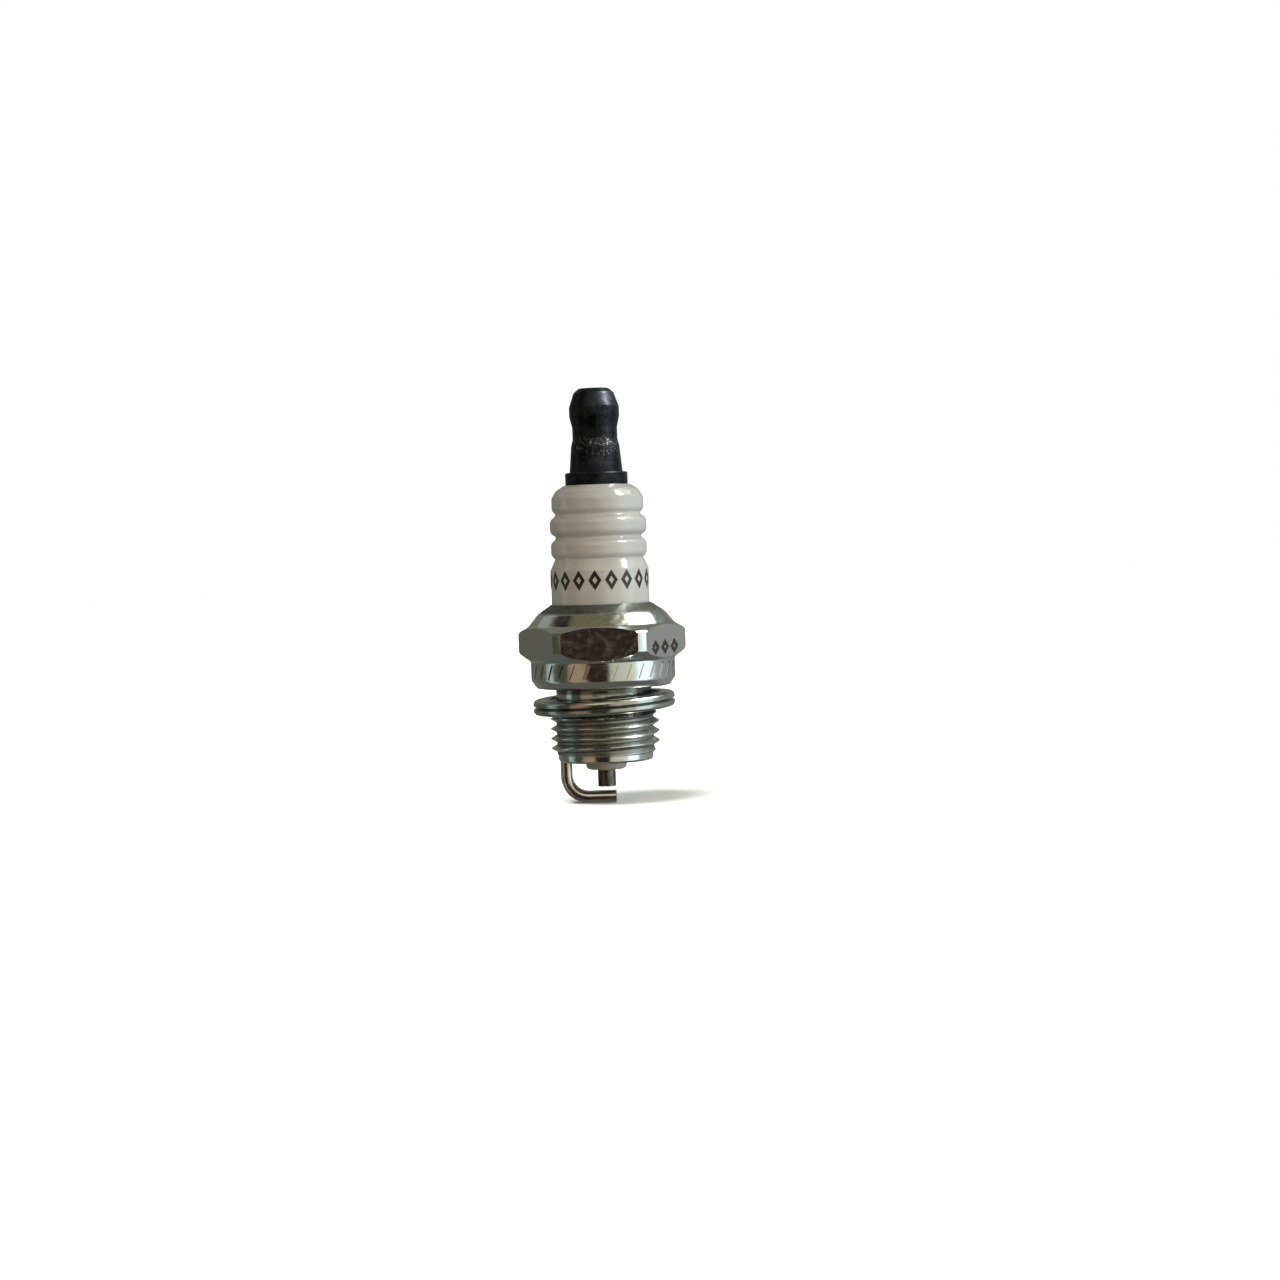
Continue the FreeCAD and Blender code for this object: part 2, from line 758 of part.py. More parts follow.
def ground_electrode():
    """Flat nickel strap welded to the shell's end and bent under the electrode."""
    body = new_body("ground_electrode")
    path = strap_path(body)
    section = new_sketch(body, "StrapSection", "XY_Plane")
    bind(section, "AttachmentOffset.Base.z", "-reach")
    inner = f"-{LEG_MIDDLE} + strap_thickness / 2"
    outer = f"-{LEG_MIDDLE} - strap_thickness / 2"
    wide = "strap_width / 2"
    outline(section, [(outer, f"-{wide}"), (inner, f"-{wide}"), (inner, wide), (outer, wide)])
    strap = body.newObject("PartDesign::AdditivePipe", "Strap")
    strap.Profile = section
    strap.Spine = (path, ["Edge1", "Edge2", "Edge3"])
    doc.recompute()
    weld_height, tip = -number("reach"), number(ELECTRODE_R)
    long_edges = []
    for i, edge in enumerate(strap.Shape.Edges, start=1):
        box = edge.BoundBox
        at_weld = box.ZMin > weld_height - 1e-6
        at_tip = box.XMin > tip - 1e-6
        if not at_weld and not at_tip and box.YLength < 1e-6:
            long_edges.append(f"Edge{i}")
    fillet = body.newObject("PartDesign::Fillet", "StrapRounding")
    fillet.Base = (strap, long_edges)
    limit = "strap_rounding_share * min(strap_thickness; strap_width)"
    bind(fillet, "Radius", f"min(strap_rounding; {limit})")
    doc.recompute()
    return body


pieces = [
    shell(),
    insulator(),
    terminal_nut(),
    terminal_stud(),
    upper_glass_seal(),
    resistor(),
    lower_glass_seal(),
    centre_electrode(),
    copper_core(),
    seat_washer(),
    sill_ring("lower_sill_ring", LOWER_RING),
    talc_packing(),
    sill_ring("upper_sill_ring", UPPER_RING),
    gasket(),
    ground_electrode(),
]
doc.recompute()

for thing in doc.Objects:
    if "Invalid" in thing.State or "Error" in thing.State:
        raise RuntimeError(f"{thing.Label} failed: {thing.State}")
for piece in pieces:
    if piece.Shape.isNull() or not piece.Shape.isValid():
        raise RuntimeError(f"{piece.Label} has no sound shape")

os.makedirs("parts", exist_ok=True)
for piece in pieces:
    piece.Shape.exportStep(f"parts/{piece.Label}.step")
    print(piece.Label, len(piece.Shape.Solids), round(piece.Shape.Volume, 3))
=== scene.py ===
# %% [markdown]
# # A spark plug, finished in Blender
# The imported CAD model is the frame: it says how big each piece is and where it sits.
# This file gives every piece the finish that it has on the real plug, adds the printed
# marks and the small rounded edges, and sets up a plain studio to look at it in.
# Everything is in metres, with the plug's axis upright and height 0 at the seat.

# %% Load the frame
import math

import bmesh
import bpy
from mathutils import Matrix, Vector


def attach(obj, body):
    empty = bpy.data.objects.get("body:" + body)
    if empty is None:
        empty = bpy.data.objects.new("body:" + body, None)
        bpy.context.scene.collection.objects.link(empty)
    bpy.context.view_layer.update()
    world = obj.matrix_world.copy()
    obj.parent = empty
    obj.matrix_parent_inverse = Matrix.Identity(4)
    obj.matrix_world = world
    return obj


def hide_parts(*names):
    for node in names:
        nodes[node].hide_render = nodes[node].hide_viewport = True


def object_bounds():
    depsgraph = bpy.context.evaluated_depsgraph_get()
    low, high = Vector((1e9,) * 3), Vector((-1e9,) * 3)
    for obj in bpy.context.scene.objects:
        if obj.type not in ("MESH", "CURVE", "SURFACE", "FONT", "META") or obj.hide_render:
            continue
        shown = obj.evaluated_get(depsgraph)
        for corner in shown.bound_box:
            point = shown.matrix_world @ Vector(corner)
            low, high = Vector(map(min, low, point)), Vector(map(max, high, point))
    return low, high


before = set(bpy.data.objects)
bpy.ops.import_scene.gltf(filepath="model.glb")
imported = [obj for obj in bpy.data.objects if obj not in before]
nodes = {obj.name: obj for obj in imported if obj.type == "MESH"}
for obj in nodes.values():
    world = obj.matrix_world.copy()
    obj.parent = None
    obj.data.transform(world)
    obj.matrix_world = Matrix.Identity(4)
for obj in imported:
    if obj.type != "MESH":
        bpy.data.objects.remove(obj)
cad_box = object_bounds()
print("CAD pieces:", ", ".join(sorted(nodes)))

# %% [markdown]
# ## Finishes are small trees of nodes
# A finish is a Principled shader with patterns plugged into its colour, roughness and
# normal. Three short helpers keep each recipe readable: one starts a finish, one adds a
# node, and one mixes two colours by a pattern. Patterns read Object coordinates, scaled
# to millimetres, so a number in a recipe is a size on the real plug.

# %% Helpers for finishes
MM = 0.001


def new_finish(name, metallic, roughness):
    """A finish with one Principled shader: its material, its tree and the shader."""
    finish = bpy.data.materials.new(name)
    finish.use_nodes = True
    tree = finish.node_tree
    tree.nodes.clear()
    output = tree.nodes.new("ShaderNodeOutputMaterial")
    shader = tree.nodes.new("ShaderNodeBsdfPrincipled")
    shader.inputs["Metallic"].default_value = metallic
    shader.inputs["Roughness"].default_value = roughness
    tree.links.new(shader.outputs["BSDF"], output.inputs["Surface"])
    return finish, tree, shader


def add(tree, kind, inputs=None, **settings):
    """Add a node, set its settings, and link or set its inputs by name or number."""
    node = tree.nodes.new("ShaderNode" + kind)
    for setting, value in settings.items():
        setattr(node, setting, value)
    for key, value in (inputs or {}).items():
        if isinstance(value, bpy.types.NodeSocket):
            tree.links.new(value, node.inputs[key])
        else:
            node.inputs[key].default_value = value
    return node


def mix_colours(tree, share, first, second):
    """Blend two colours; share 0 gives the first and share 1 the second."""
    node = add(tree, "Mix", data_type="RGBA")
    for key, value in ((0, share), (6, first), (7, second)):
        if isinstance(value, bpy.types.NodeSocket):
            tree.links.new(value, node.inputs[key])
        elif key == 0:
            node.inputs[key].default_value = value
        else:
            node.inputs[key].default_value = (*value, 1.0)
    return node.outputs[2]


def ramp(tree, value, low, high, low_to=0.0, high_to=1.0):
    """Map a value between low and high smoothly to the range low_to to high_to."""
    node = add(
        tree,
        "MapRange",
        {"Value": value, "From Min": low, "From Max": high, "To Min": low_to, "To Max": high_to},
        interpolation_type="SMOOTHSTEP",
    )
    return node.outputs["Result"]


def times(tree, first, second):
    return add(tree, "Math", {0: first, 1: second}, operation="MULTIPLY").outputs[0]


def millimetres(tree):
    """The place on the object in millimetres, its height, and its radius from the axis."""
    place = add(tree, "TexCoord").outputs["Object"]
    scaled = add(tree, "VectorMath", {0: place, "Scale": 1 / MM}, operation="SCALE").outputs[0]
    parts = add(tree, "SeparateXYZ", {0: scaled})
    flat = add(tree, "CombineXYZ", {"X": parts.outputs["X"], "Y": parts.outputs["Y"]})
    radius = add(tree, "VectorMath", {0: flat.outputs[0]}, operation="LENGTH").outputs["Value"]
    return scaled, parts.outputs["Z"], radius


def noise(tree, place, scale, detail=3.0, roughness=0.5):
    """Soft cloudy pattern; scale is in patches per millimetre."""
    inputs = {"Vector": place, "Scale": scale, "Detail": detail, "Roughness": roughness}
    return add(tree, "TexNoise", inputs).outputs["Fac"]


def turning_lines(tree, height, radius, fineness):
    """Fine rings that a lathe tool leaves: noise that depends on height and radius only."""
    rings = add(tree, "CombineXYZ", {"X": radius, "Z": height}).outputs[0]
    return noise(tree, rings, fineness, detail=4.0, roughness=0.65)


def bump(tree, shader, pattern, depth_mm):
    """Raise and sink the surface's shading by a pattern, as deep as depth_mm."""
    inputs = {"Height": pattern, "Distance": depth_mm * MM, "Strength": 1.0}
    node = add(tree, "Bump", inputs)
    tree.links.new(node.outputs["Normal"], shader.inputs["Normal"])


def put_on(finish, *names):
    """Give CAD pieces a finish, in every material slot that they have."""
    for name in names:
        for slot in nodes[name].material_slots:
            slot.material = finish
    print(finish.name, "is on", ", ".join(names))


print("helpers ready")

# %% [markdown]
# ## The plated shell
# The shell is turned steel with a thin bright plating. Plating mirrors the room, so most
# of its look is reflection, and the finish breaks that up: rings from the lathe, a faint
# warm and cool drift in the plating and soft wear. It also paints shade into the
# colour: the thread's roots are darker, as grime and painted shade, and a dark band of
# painted shade lies in the corner under the boss. The crimp at the top was heated while
# it was rolled in, so it is duller and darker than the rest.

# %% Plated shell finish
CRIMP_FOOT, CRIMP_TINT_END = 9.25, 9.6
THREAD_ROOT, THREAD_CREST = 6.15, 6.85
THREAD_TOP, THREAD_FOOT = -2.6, -8.6
SHADE_UNDER_BOSS_FOOT, BOSS_INSIDE = -1.0, 8.4


def plated_shell():
    finish, tree, shader = new_finish("plated_shell", 1.0, 0.2)
    place, height, radius = millimetres(tree)
    drift = ramp(tree, noise(tree, place, 0.16, 2.0), 0.35, 0.65)
    colour = mix_colours(tree, drift, (0.70, 0.70, 0.66), (0.66, 0.68, 0.68))
    specks = ramp(tree, noise(tree, place, 5.0, 5.0, 0.7), 0.60, 0.74)
    colour = mix_colours(tree, times(tree, specks, 0.35), colour, (0.30, 0.29, 0.26))
    heated = ramp(tree, height, CRIMP_FOOT, CRIMP_TINT_END)
    colour = mix_colours(tree, heated, colour, (0.135, 0.145, 0.13))
    below = ramp(tree, height, THREAD_TOP - 0.4, THREAD_TOP, 1.0, 0.0)
    threaded = times(tree, below, ramp(tree, height, THREAD_FOOT, THREAD_FOOT + 0.3))
    # Painted shade: a dark band on the neck in the corner under the boss, where the boss shades
    # it.
    corner = times(
        tree,
        ramp(tree, height, SHADE_UNDER_BOSS_FOOT, SHADE_UNDER_BOSS_FOOT + 0.45),
        ramp(tree, height, 0.2, 0.4, 1.0, 0.0),
    )
    painted_shade_under_boss = times(tree, corner, ramp(tree, radius, BOSS_INSIDE, BOSS_INSIDE + 0.4, 1.0, 0.0))
    colour = mix_colours(tree, times(tree, painted_shade_under_boss, 0.85), colour, (0.07, 0.075, 0.06))
    # The thread's roots are painted darker and duller: grime, and painted shade in the recesses.
    deep = ramp(tree, radius, THREAD_ROOT, THREAD_CREST, 1.0, 0.0)
    root_grime_and_shade = times(tree, threaded, deep)
    colour = mix_colours(tree, times(tree, root_grime_and_shade, 0.7), colour, (0.13, 0.13, 0.11))
    tree.links.new(colour, shader.inputs["Base Color"])

    rings = turning_lines(tree, height, radius, 6.0)
    wear = noise(tree, place, 1.4, 4.0, 0.6)
    base = ramp(tree, wear, 0.35, 0.7, 0.10, 0.22)
    dull = add(tree, "Math", {0: times(tree, heated, 0.22), 1: base}, operation="ADD").outputs[0]
    dull = add(tree, "Math", {0: times(tree, root_grime_and_shade, 0.25), 1: dull}, operation="ADD").outputs[0]
    tree.links.new(dull, shader.inputs["Roughness"])
    fine = add(tree, "Math", {0: rings, 1: times(tree, wear, 0.8)}, operation="ADD").outputs[0]
    bump(tree, shader, fine, 0.006)
    return finish


shell_finish = plated_shell()
put_on(shell_finish, "shell")

# %% [markdown]
# ## The glazed insulator
# Alumina ceramic under a clear glaze: an even, slightly grey white with a hard gloss and
# a very faint waviness where the glaze pooled. Below the shell the nose is unglazed, so
# it is matt and a little darker. One finish covers both, split by height.

# %% Insulator finish
NOSE_GLAZE_END = -8.5


def glazed_ceramic():
    finish, tree, shader = new_finish("glazed_ceramic", 0.0, 0.1)
    place, height, _ = millimetres(tree)
    cloud = ramp(tree, noise(tree, place, 0.25, 3.0), 0.3, 0.7)
    colour = mix_colours(tree, cloud, (0.745, 0.715, 0.715), (0.785, 0.765, 0.765))
    specks = add(tree, "TexVoronoi", {"Vector": place, "Scale": 0.55}, feature="F1")
    speck = ramp(tree, specks.outputs["Distance"], 0.03, 0.12, 1.0, 0.0)
    colour = mix_colours(tree, times(tree, speck, 0.35), colour, (0.42, 0.38, 0.32))
    bare = ramp(tree, height, NOSE_GLAZE_END - 0.5, NOSE_GLAZE_END, 1.0, 0.0)
    grain = noise(tree, place, 9.0, 4.0)
    bisque = mix_colours(tree, grain, (0.56, 0.52, 0.46), (0.66, 0.62, 0.56))
    colour = mix_colours(tree, bare, colour, bisque)
    tree.links.new(colour, shader.inputs["Base Color"])
    tree.links.new(ramp(tree, bare, 0.0, 1.0, 0.09, 0.75), shader.inputs["Roughness"])
    shader.inputs["IOR"].default_value = 1.55
    waves = noise(tree, place, 0.9, 2.0)
    texture = add(
        tree, "Math", {0: waves, 1: times(tree, times(tree, grain, bare), 0.5)}, operation="ADD"
    )
    bump(tree, shader, texture.outputs[0], 0.012)
    return finish


put_on(glazed_ceramic(), "insulator")

# %% [markdown]
# ## The black terminal
# The terminal nut is steel with a blue-black oxide skin. The skin is thin: caps and
# fingers rub it through in specks, most of all round the top of the cone. A fine noise
# makes the specks, and a band of height says where they gather.

# %% Terminal finish
WORN_BAND_FOOT, WORN_BAND_TOP = 28.6, 32.2
MOST_WORN = (30.3, 31.0)


def black_oxide():
    finish, tree, shader = new_finish("black_oxide", 1.0, 0.4)
    place, height, radius = millimetres(tree)
    cloud = noise(tree, place, 0.5, 4.0)
    patches = ramp(tree, cloud, 0.3, 0.7)
    colour = mix_colours(tree, patches, (0.012, 0.0135, 0.017), (0.026, 0.029, 0.034))
    into = ramp(tree, height, WORN_BAND_FOOT, MOST_WORN[0])
    out = ramp(tree, height, MOST_WORN[1], WORN_BAND_TOP, 1.0, 0.0)
    band = ramp(tree, times(tree, into, out), 0.0, 1.0, 0.12, 1.0)
    rubbed = ramp(tree, noise(tree, place, 2.6, 6.0, 0.75), 0.52, 0.62)
    worn = times(tree, rubbed, band)
    colour = mix_colours(tree, times(tree, worn, 0.6), colour, (0.30, 0.295, 0.29))
    tree.links.new(colour, shader.inputs["Base Color"])
    tree.links.new(ramp(tree, cloud, 0.3, 0.7, 0.30, 0.46), shader.inputs["Roughness"])
    rings = turning_lines(tree, height, radius, 5.0)
    bump(tree, shader, rings, 0.012)
    return finish


put_on(black_oxide(), "terminal_nut")

# %% [markdown]
# ## Electrodes, gasket and the hidden pieces
# The electrodes are drawn nickel alloy, darkened by heat treatment. The gasket is thin
# plated sheet, rolled and folded. The pieces inside the plug are seldom seen, but each
# still gets what it is made of: plain steel, pressed talc, fired glass, carbon-filled
# ceramic and copper. One recipe serves them all, with two colours, a grain and a gloss.

# %% Plainer finishes
def mottled(name, first, second, grain, metallic, gloss, depth_mm):
    """Two colours in a cloudy mix; gloss is the range of roughness between the patches."""
    finish, tree, shader = new_finish(name, metallic, gloss[0])
    place, height, radius = millimetres(tree)
    cloud = noise(tree, place, grain, 5.0, 0.6)
    share = ramp(tree, cloud, 0.3, 0.7)
    tree.links.new(mix_colours(tree, share, first, second), shader.inputs["Base Color"])
    tree.links.new(ramp(tree, cloud, 0.3, 0.7, *gloss), shader.inputs["Roughness"])
    rings = turning_lines(tree, height, radius, grain * 3)
    texture = add(tree, "Math", {0: cloud, 1: rings}, operation="ADD").outputs[0]
    bump(tree, shader, texture, depth_mm)
    return finish


gasket_sheet = mottled(
    "gasket_sheet", (0.41, 0.43, 0.42), (0.50, 0.50, 0.47), 1.1, 1.0, (0.14, 0.26), 0.008
)
strap_nickel = mottled(
    "strap_nickel", (0.55, 0.53, 0.47), (0.63, 0.61, 0.55), 0.8, 1.0, (0.16, 0.24), 0.003
)
dark_nickel = mottled(
    "dark_nickel", (0.10, 0.095, 0.09), (0.17, 0.16, 0.15), 1.6, 1.0, (0.25, 0.4), 0.008
)
plain_steel = mottled(
    "plain_steel", (0.46, 0.46, 0.45), (0.58, 0.58, 0.56), 1.2, 1.0, (0.22, 0.36), 0.006
)
ring_steel = mottled(
    "ring_steel", (0.40, 0.40, 0.39), (0.52, 0.52, 0.50), 1.2, 1.0, (0.3, 0.45), 0.006
)
fired_glass = mottled(
    "fired_glass", (0.05, 0.05, 0.055), (0.10, 0.10, 0.11), 2.0, 0.0, (0.15, 0.3), 0.01
)
carbon_ceramic = mottled(
    "carbon_ceramic", (0.03, 0.03, 0.03), (0.06, 0.06, 0.058), 4.0, 0.0, (0.6, 0.8), 0.02
)
core_copper = mottled(
    "core_copper", (0.70, 0.36, 0.22), (0.80, 0.45, 0.30), 1.2, 1.0, (0.25, 0.4), 0.006
)
pressed_talc = mottled(
    "pressed_talc", (0.74, 0.73, 0.68), (0.84, 0.83, 0.79), 6.0, 0.0, (0.8, 0.95), 0.03
)
put_on(gasket_sheet, "gasket")
put_on(strap_nickel, "ground_electrode")
put_on(dark_nickel, "centre_electrode")
put_on(plain_steel, "terminal_stud")
put_on(ring_steel, "seat_washer", "lower_sill_ring", "upper_sill_ring")
put_on(fired_glass, "upper_glass_seal", "lower_glass_seal")
put_on(carbon_ceramic, "resistor")
put_on(core_copper, "copper_core")
put_on(pressed_talc, "talc_packing")

# %% [markdown]
# ## Turning the shell again, with soft edges
# A lathe turns the real shell from bar, so here a half section is spun round the axis.
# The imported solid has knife-sharp corners; real plating never has, and the thin bright
# lines on those corners are much of what makes metal look real. So the section is spun
# with plain corners first, and then each ring of edges is bevelled by its own amount.

# %% Shapes that are turned
def turned(section, steps, closed):
    """Spin a half section of (radius, height) corners, in millimetres, into a surface."""
    form = bmesh.new()
    corners = [form.verts.new((radius * MM, 0, height * MM)) for radius, height in section]
    ends = corners[1:] + (corners[:1] if closed else [])
    sides = [form.edges.new(pair) for pair in zip(corners, ends)]
    bmesh.ops.spin(
        form,
        geom=corners + sides,
        cent=(0, 0, 0),
        axis=(0, 0, 1),
        dvec=(0, 0, 0),
        angle=math.tau,
        steps=steps,
        use_merge=True,
    )
    bmesh.ops.remove_doubles(form, verts=form.verts, dist=1e-7)
    return form


NEAR = 2e-6


def ring_at(form, radius, height):
    """The loop of edges that one corner of the section left behind."""

    def on_ring(vert):
        off_radius = abs(math.hypot(vert.co.x, vert.co.y) - radius * MM)
        return off_radius < NEAR and abs(vert.co.z - height * MM) < NEAR

    return [edge for edge in form.edges if all(on_ring(vert) for vert in edge.verts)]


def soften(form, edges, width_mm, segments=3):
    bmesh.ops.bevel(
        form,
        geom=edges,
        offset=width_mm * MM,
        offset_type="OFFSET",
        segments=segments,
        profile=0.5,
        affect="EDGES",
        material=-1,
        clamp_overlap=False,
    )


def into_object(form, name, finish, body="shell_body"):
    """Turn a bmesh into an object that rides on a body of the frame."""
    mesh = bpy.data.meshes.new(name)
    form.to_mesh(mesh)
    form.free()
    mesh.materials.append(finish)
    piece = bpy.data.objects.new(name, mesh)
    bpy.context.scene.collection.objects.link(piece)
    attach(piece, body)
    print(name, "has", len(mesh.polygons), "faces")
    return piece


# %% [markdown]
# The shell's section starts at the foot of the neck, goes up over the boss, the
# hexagon's blank and the crimp, down inside, and ends at the pilot under the thread. The
# thread itself is left open for now. Six straight cuts then make the hexagon, as a
# milling cutter would: each one slices the blank and closes the cut with a flat face.

# %% Shell: blank and hexagon
SHELL_STEPS = 160
NECK = (6.1, -2.6)
PILOT = (6.05, -8.6)
CORNER_RADIUS, FLAT_DISTANCE = 10.65, 9.5
SHELL_SECTION = [
    NECK,
    (6.1, 0.0),
    (8.5, 0.0),
    (9.2, 1.0),
    (9.2, 3.4),
    (CORNER_RADIUS, 4.533),
    (CORNER_RADIUS, 7.121),
    (9.3, 7.9),
    (8.15, 9.35),
    (6.3, 10.6),
    (6.3, 10.02),
    (7.35, 8.97),
    (7.35, 2.6),
    (5.0, 1.4),
    (5.0, -2.2),
    (4.35, -2.85),
    (4.35, -9.5),
    (5.8, -9.5),
    (6.05, -9.25),
    PILOT,
]
SOFT_RINGS = [
    ((6.1, 0.0), 0.35),
    ((8.5, 0.0), 0.12),
    ((9.2, 1.0), 0.22),
    ((9.2, 3.4), 0.18),
    ((CORNER_RADIUS, 4.533), 0.3),
    ((CORNER_RADIUS, 7.121), 0.25),
    ((9.3, 7.9), 0.2),
    ((8.15, 9.35), 0.3),
    ((6.3, 10.6), 0.16),
    ((4.35, -9.5), 0.12),
    ((5.8, -9.5), 0.08),
    ((6.05, -9.25), 0.08),
]

blank = turned(SHELL_SECTION, SHELL_STEPS, closed=False)
for (ring_radius, ring_height), width in SOFT_RINGS:
    soften(blank, ring_at(blank, ring_radius, ring_height), width)

for side in range(6):
    turn = Matrix.Rotation(side * math.tau / 6, 3, "Z")
    facing = turn @ Vector((0, -1, 0))
    cut = bmesh.ops.bisect_plane(
        blank,
        geom=blank.verts[:] + blank.edges[:] + blank.faces[:],
        dist=1e-7,
        plane_co=facing * FLAT_DISTANCE * MM,
        plane_no=facing,
        clear_outer=True,
    )
    rim = [piece for piece in cut["geom_cut"] if isinstance(piece, bmesh.types.BMEdge)]
    bmesh.ops.edgeloop_fill(blank, edges=rim)
print("blank has", len(blank.faces), "faces")

# %% [markdown]
# ## The thread
# A thread is a V profile carried round a helix. Spinning one pitch of the profile while
# it climbs one pitch per turn gives a ribbon whose edge meets its own next turn, so
# merging doubles makes it one continuous surface. It is tapered at both ends, sliced
# level, and bridged to the neck above and the pilot below, so the shell stays one skin.

# %% Shell: thread
PITCH = 1.25
THREAD_TURNS, STEPS_PER_TURN = 6, 96
THREAD_START = -10.3875
ROOT_RADIUS, CREST_RADIUS = 6.2, 6.94
THREAD_SECTION = [
    (ROOT_RADIUS, 0.0),
    (ROOT_RADIUS, 0.21 * PITCH),
    (CREST_RADIUS - 0.05, 0.545 * PITCH),
    (CREST_RADIUS, 0.575 * PITCH),
    (CREST_RADIUS, 0.645 * PITCH),
    (CREST_RADIUS - 0.05, 0.675 * PITCH),
    (ROOT_RADIUS, 1.01 * PITCH),
]
THREAD_SLICES = (-8.52, -3.05)
FULL_THREAD = (-7.75, -3.75)


def spun_thread():
    form = bmesh.new()
    corners = [form.verts.new((r * MM, 0, (THREAD_START + z) * MM)) for r, z in THREAD_SECTION]
    corners[-1].co.z = corners[0].co.z + PITCH * MM
    sides = [form.edges.new(pair) for pair in zip(corners, corners[1:])]
    bmesh.ops.spin(
        form,
        geom=corners + sides,
        cent=(0, 0, 0),
        axis=(0, 0, 1),
        dvec=(0, 0, PITCH * MM / STEPS_PER_TURN),
        angle=math.tau * THREAD_TURNS,
        steps=THREAD_TURNS * STEPS_PER_TURN,
    )
    bmesh.ops.remove_doubles(form, verts=form.verts, dist=1e-6)
    return form


def taper(form):
    """Bring the crests down towards the core beyond the ends of the full thread."""
    low, high = FULL_THREAD
    for vert in form.verts:
        height = vert.co.z / MM
        radius = math.hypot(vert.co.x, vert.co.y) / MM
        over = max(low - height, height - high, 0.0)
        allowed = max(CREST_RADIUS - over, PILOT[0] + 0.04)
        if radius > allowed:
            vert.co.x *= allowed / radius
            vert.co.y *= allowed / radius


def slice_level(form, height, keep_above):
    """Cut a surface at a height, throw one side away, and return the rim."""
    cut = bmesh.ops.bisect_plane(
        form,
        geom=form.verts[:] + form.edges[:] + form.faces[:],
        dist=1e-7,
        plane_co=(0, 0, height * MM),
        plane_no=(0, 0, 1),
        clear_inner=keep_above,
        clear_outer=not keep_above,
    )
    return [piece for piece in cut["geom_cut"] if isinstance(piece, bmesh.types.BMEdge)]


thread = spun_thread()
taper(thread)
slice_level(thread, THREAD_SLICES[0], keep_above=True)
slice_level(thread, THREAD_SLICES[1], keep_above=False)
ribbon = bpy.data.meshes.new("thread_ribbon")
thread.to_mesh(ribbon)
thread.free()
blank.from_mesh(ribbon)
bpy.data.meshes.remove(ribbon)


def open_rim(form, low, high):
    """Edges with one face only, between two heights: the rim of a hole."""
    return [
        edge
        for edge in form.edges
        if edge.is_boundary and all(low * MM < v.co.z < high * MM for v in edge.verts)
    ]


MARGIN = 0.01
TOP_GAP = (THREAD_SLICES[1] - MARGIN, NECK[1] + MARGIN)
FOOT_GAP = (PILOT[1] - MARGIN, THREAD_SLICES[0] + MARGIN)
for low, high in (TOP_GAP, FOOT_GAP):
    bmesh.ops.bridge_loops(blank, edges=open_rim(blank, low, high))
print("open edges left:", sum(edge.is_boundary for edge in blank.edges))
bmesh.ops.recalc_face_normals(blank, faces=blank.faces)
for face in blank.faces:
    face.smooth = True

# %% [markdown]
# ## Stamped strokes
# A row of short slanted strokes is rolled into the boss. They are real dents, so they
# are cut with a Boolean: one little leaning bar, repeated round the boss, is taken away
# from the shell.

# %% Shell: strokes
STROKES, STROKE_LEAN = 33, math.radians(23)
STROKE_SIZE = (0.42, 0.34, 1.95)
STROKE_MIDDLE = 2.175
BOSS_RADIUS = 9.2
SHARP = math.radians(21)


def stroke_cutter():
    form = bmesh.new()
    lean = Matrix.Rotation(STROKE_LEAN, 4, "Y")
    out = Matrix.Translation((0, -BOSS_RADIUS * MM, STROKE_MIDDLE * MM))
    for number in range(STROKES):
        round_boss = Matrix.Rotation(number * math.tau / STROKES, 4, "Z")
        bar = bmesh.ops.create_cube(form, size=1.0)["verts"]
        bmesh.ops.scale(form, verts=bar, vec=[length * MM for length in STROKE_SIZE])
        bmesh.ops.transform(form, verts=bar, matrix=round_boss @ out @ lean)
    mesh = bpy.data.meshes.new("stroke_cutter")
    form.to_mesh(mesh)
    form.free()
    cutter = bpy.data.objects.new("stroke_cutter", mesh)
    bpy.context.scene.collection.objects.link(cutter)
    return cutter


def cut_away(piece, cutter):
    """Take the cutter's shape out of a piece for good, and remove the cutter."""
    boolean = piece.modifiers.new("cut", "BOOLEAN")
    boolean.operation = "DIFFERENCE"
    boolean.solver = "EXACT"
    boolean.object = cutter
    graph = bpy.context.evaluated_depsgraph_get()
    result = bpy.data.meshes.new_from_object(piece.evaluated_get(graph))
    piece.modifiers.clear()
    piece.data = result
    bpy.data.objects.remove(cutter)
    print(piece.name, "has", len(result.polygons), "faces after the cut")


shell = into_object(blank, "shell_turned", shell_finish)
cut_away(shell, stroke_cutter())
shell.data.set_sharp_from_angle(angle=SHARP)
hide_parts("shell")

# %% [markdown]
# ## Printed marks
# The real plug carries printed lettering on the barrel and on one flat. Here a row of
# hollow diamonds takes its place: it says nothing, but it puts the same thin dark lines
# in the same places. Each diamond is a ring of ink, drawn flat from a four-sided circle
# and thickened. A texture could do this too, but real ink has an edge that catches light.

# %% Ink
INK_THICKNESS, INK_GAP = 0.02, 0.004


def printed_ink():
    finish, tree, shader = new_finish("printed_ink", 0.0, 0.4)
    place, _, _ = millimetres(tree)
    patchy = ramp(tree, noise(tree, place, 3.0, 4.0), 0.3, 0.75)
    colour = mix_colours(tree, patchy, (0.016, 0.011, 0.008), (0.040, 0.028, 0.020))
    tree.links.new(colour, shader.inputs["Base Color"])
    tree.links.new(ramp(tree, patchy, 0.0, 1.0, 0.3, 0.5), shader.inputs["Roughness"])
    return finish


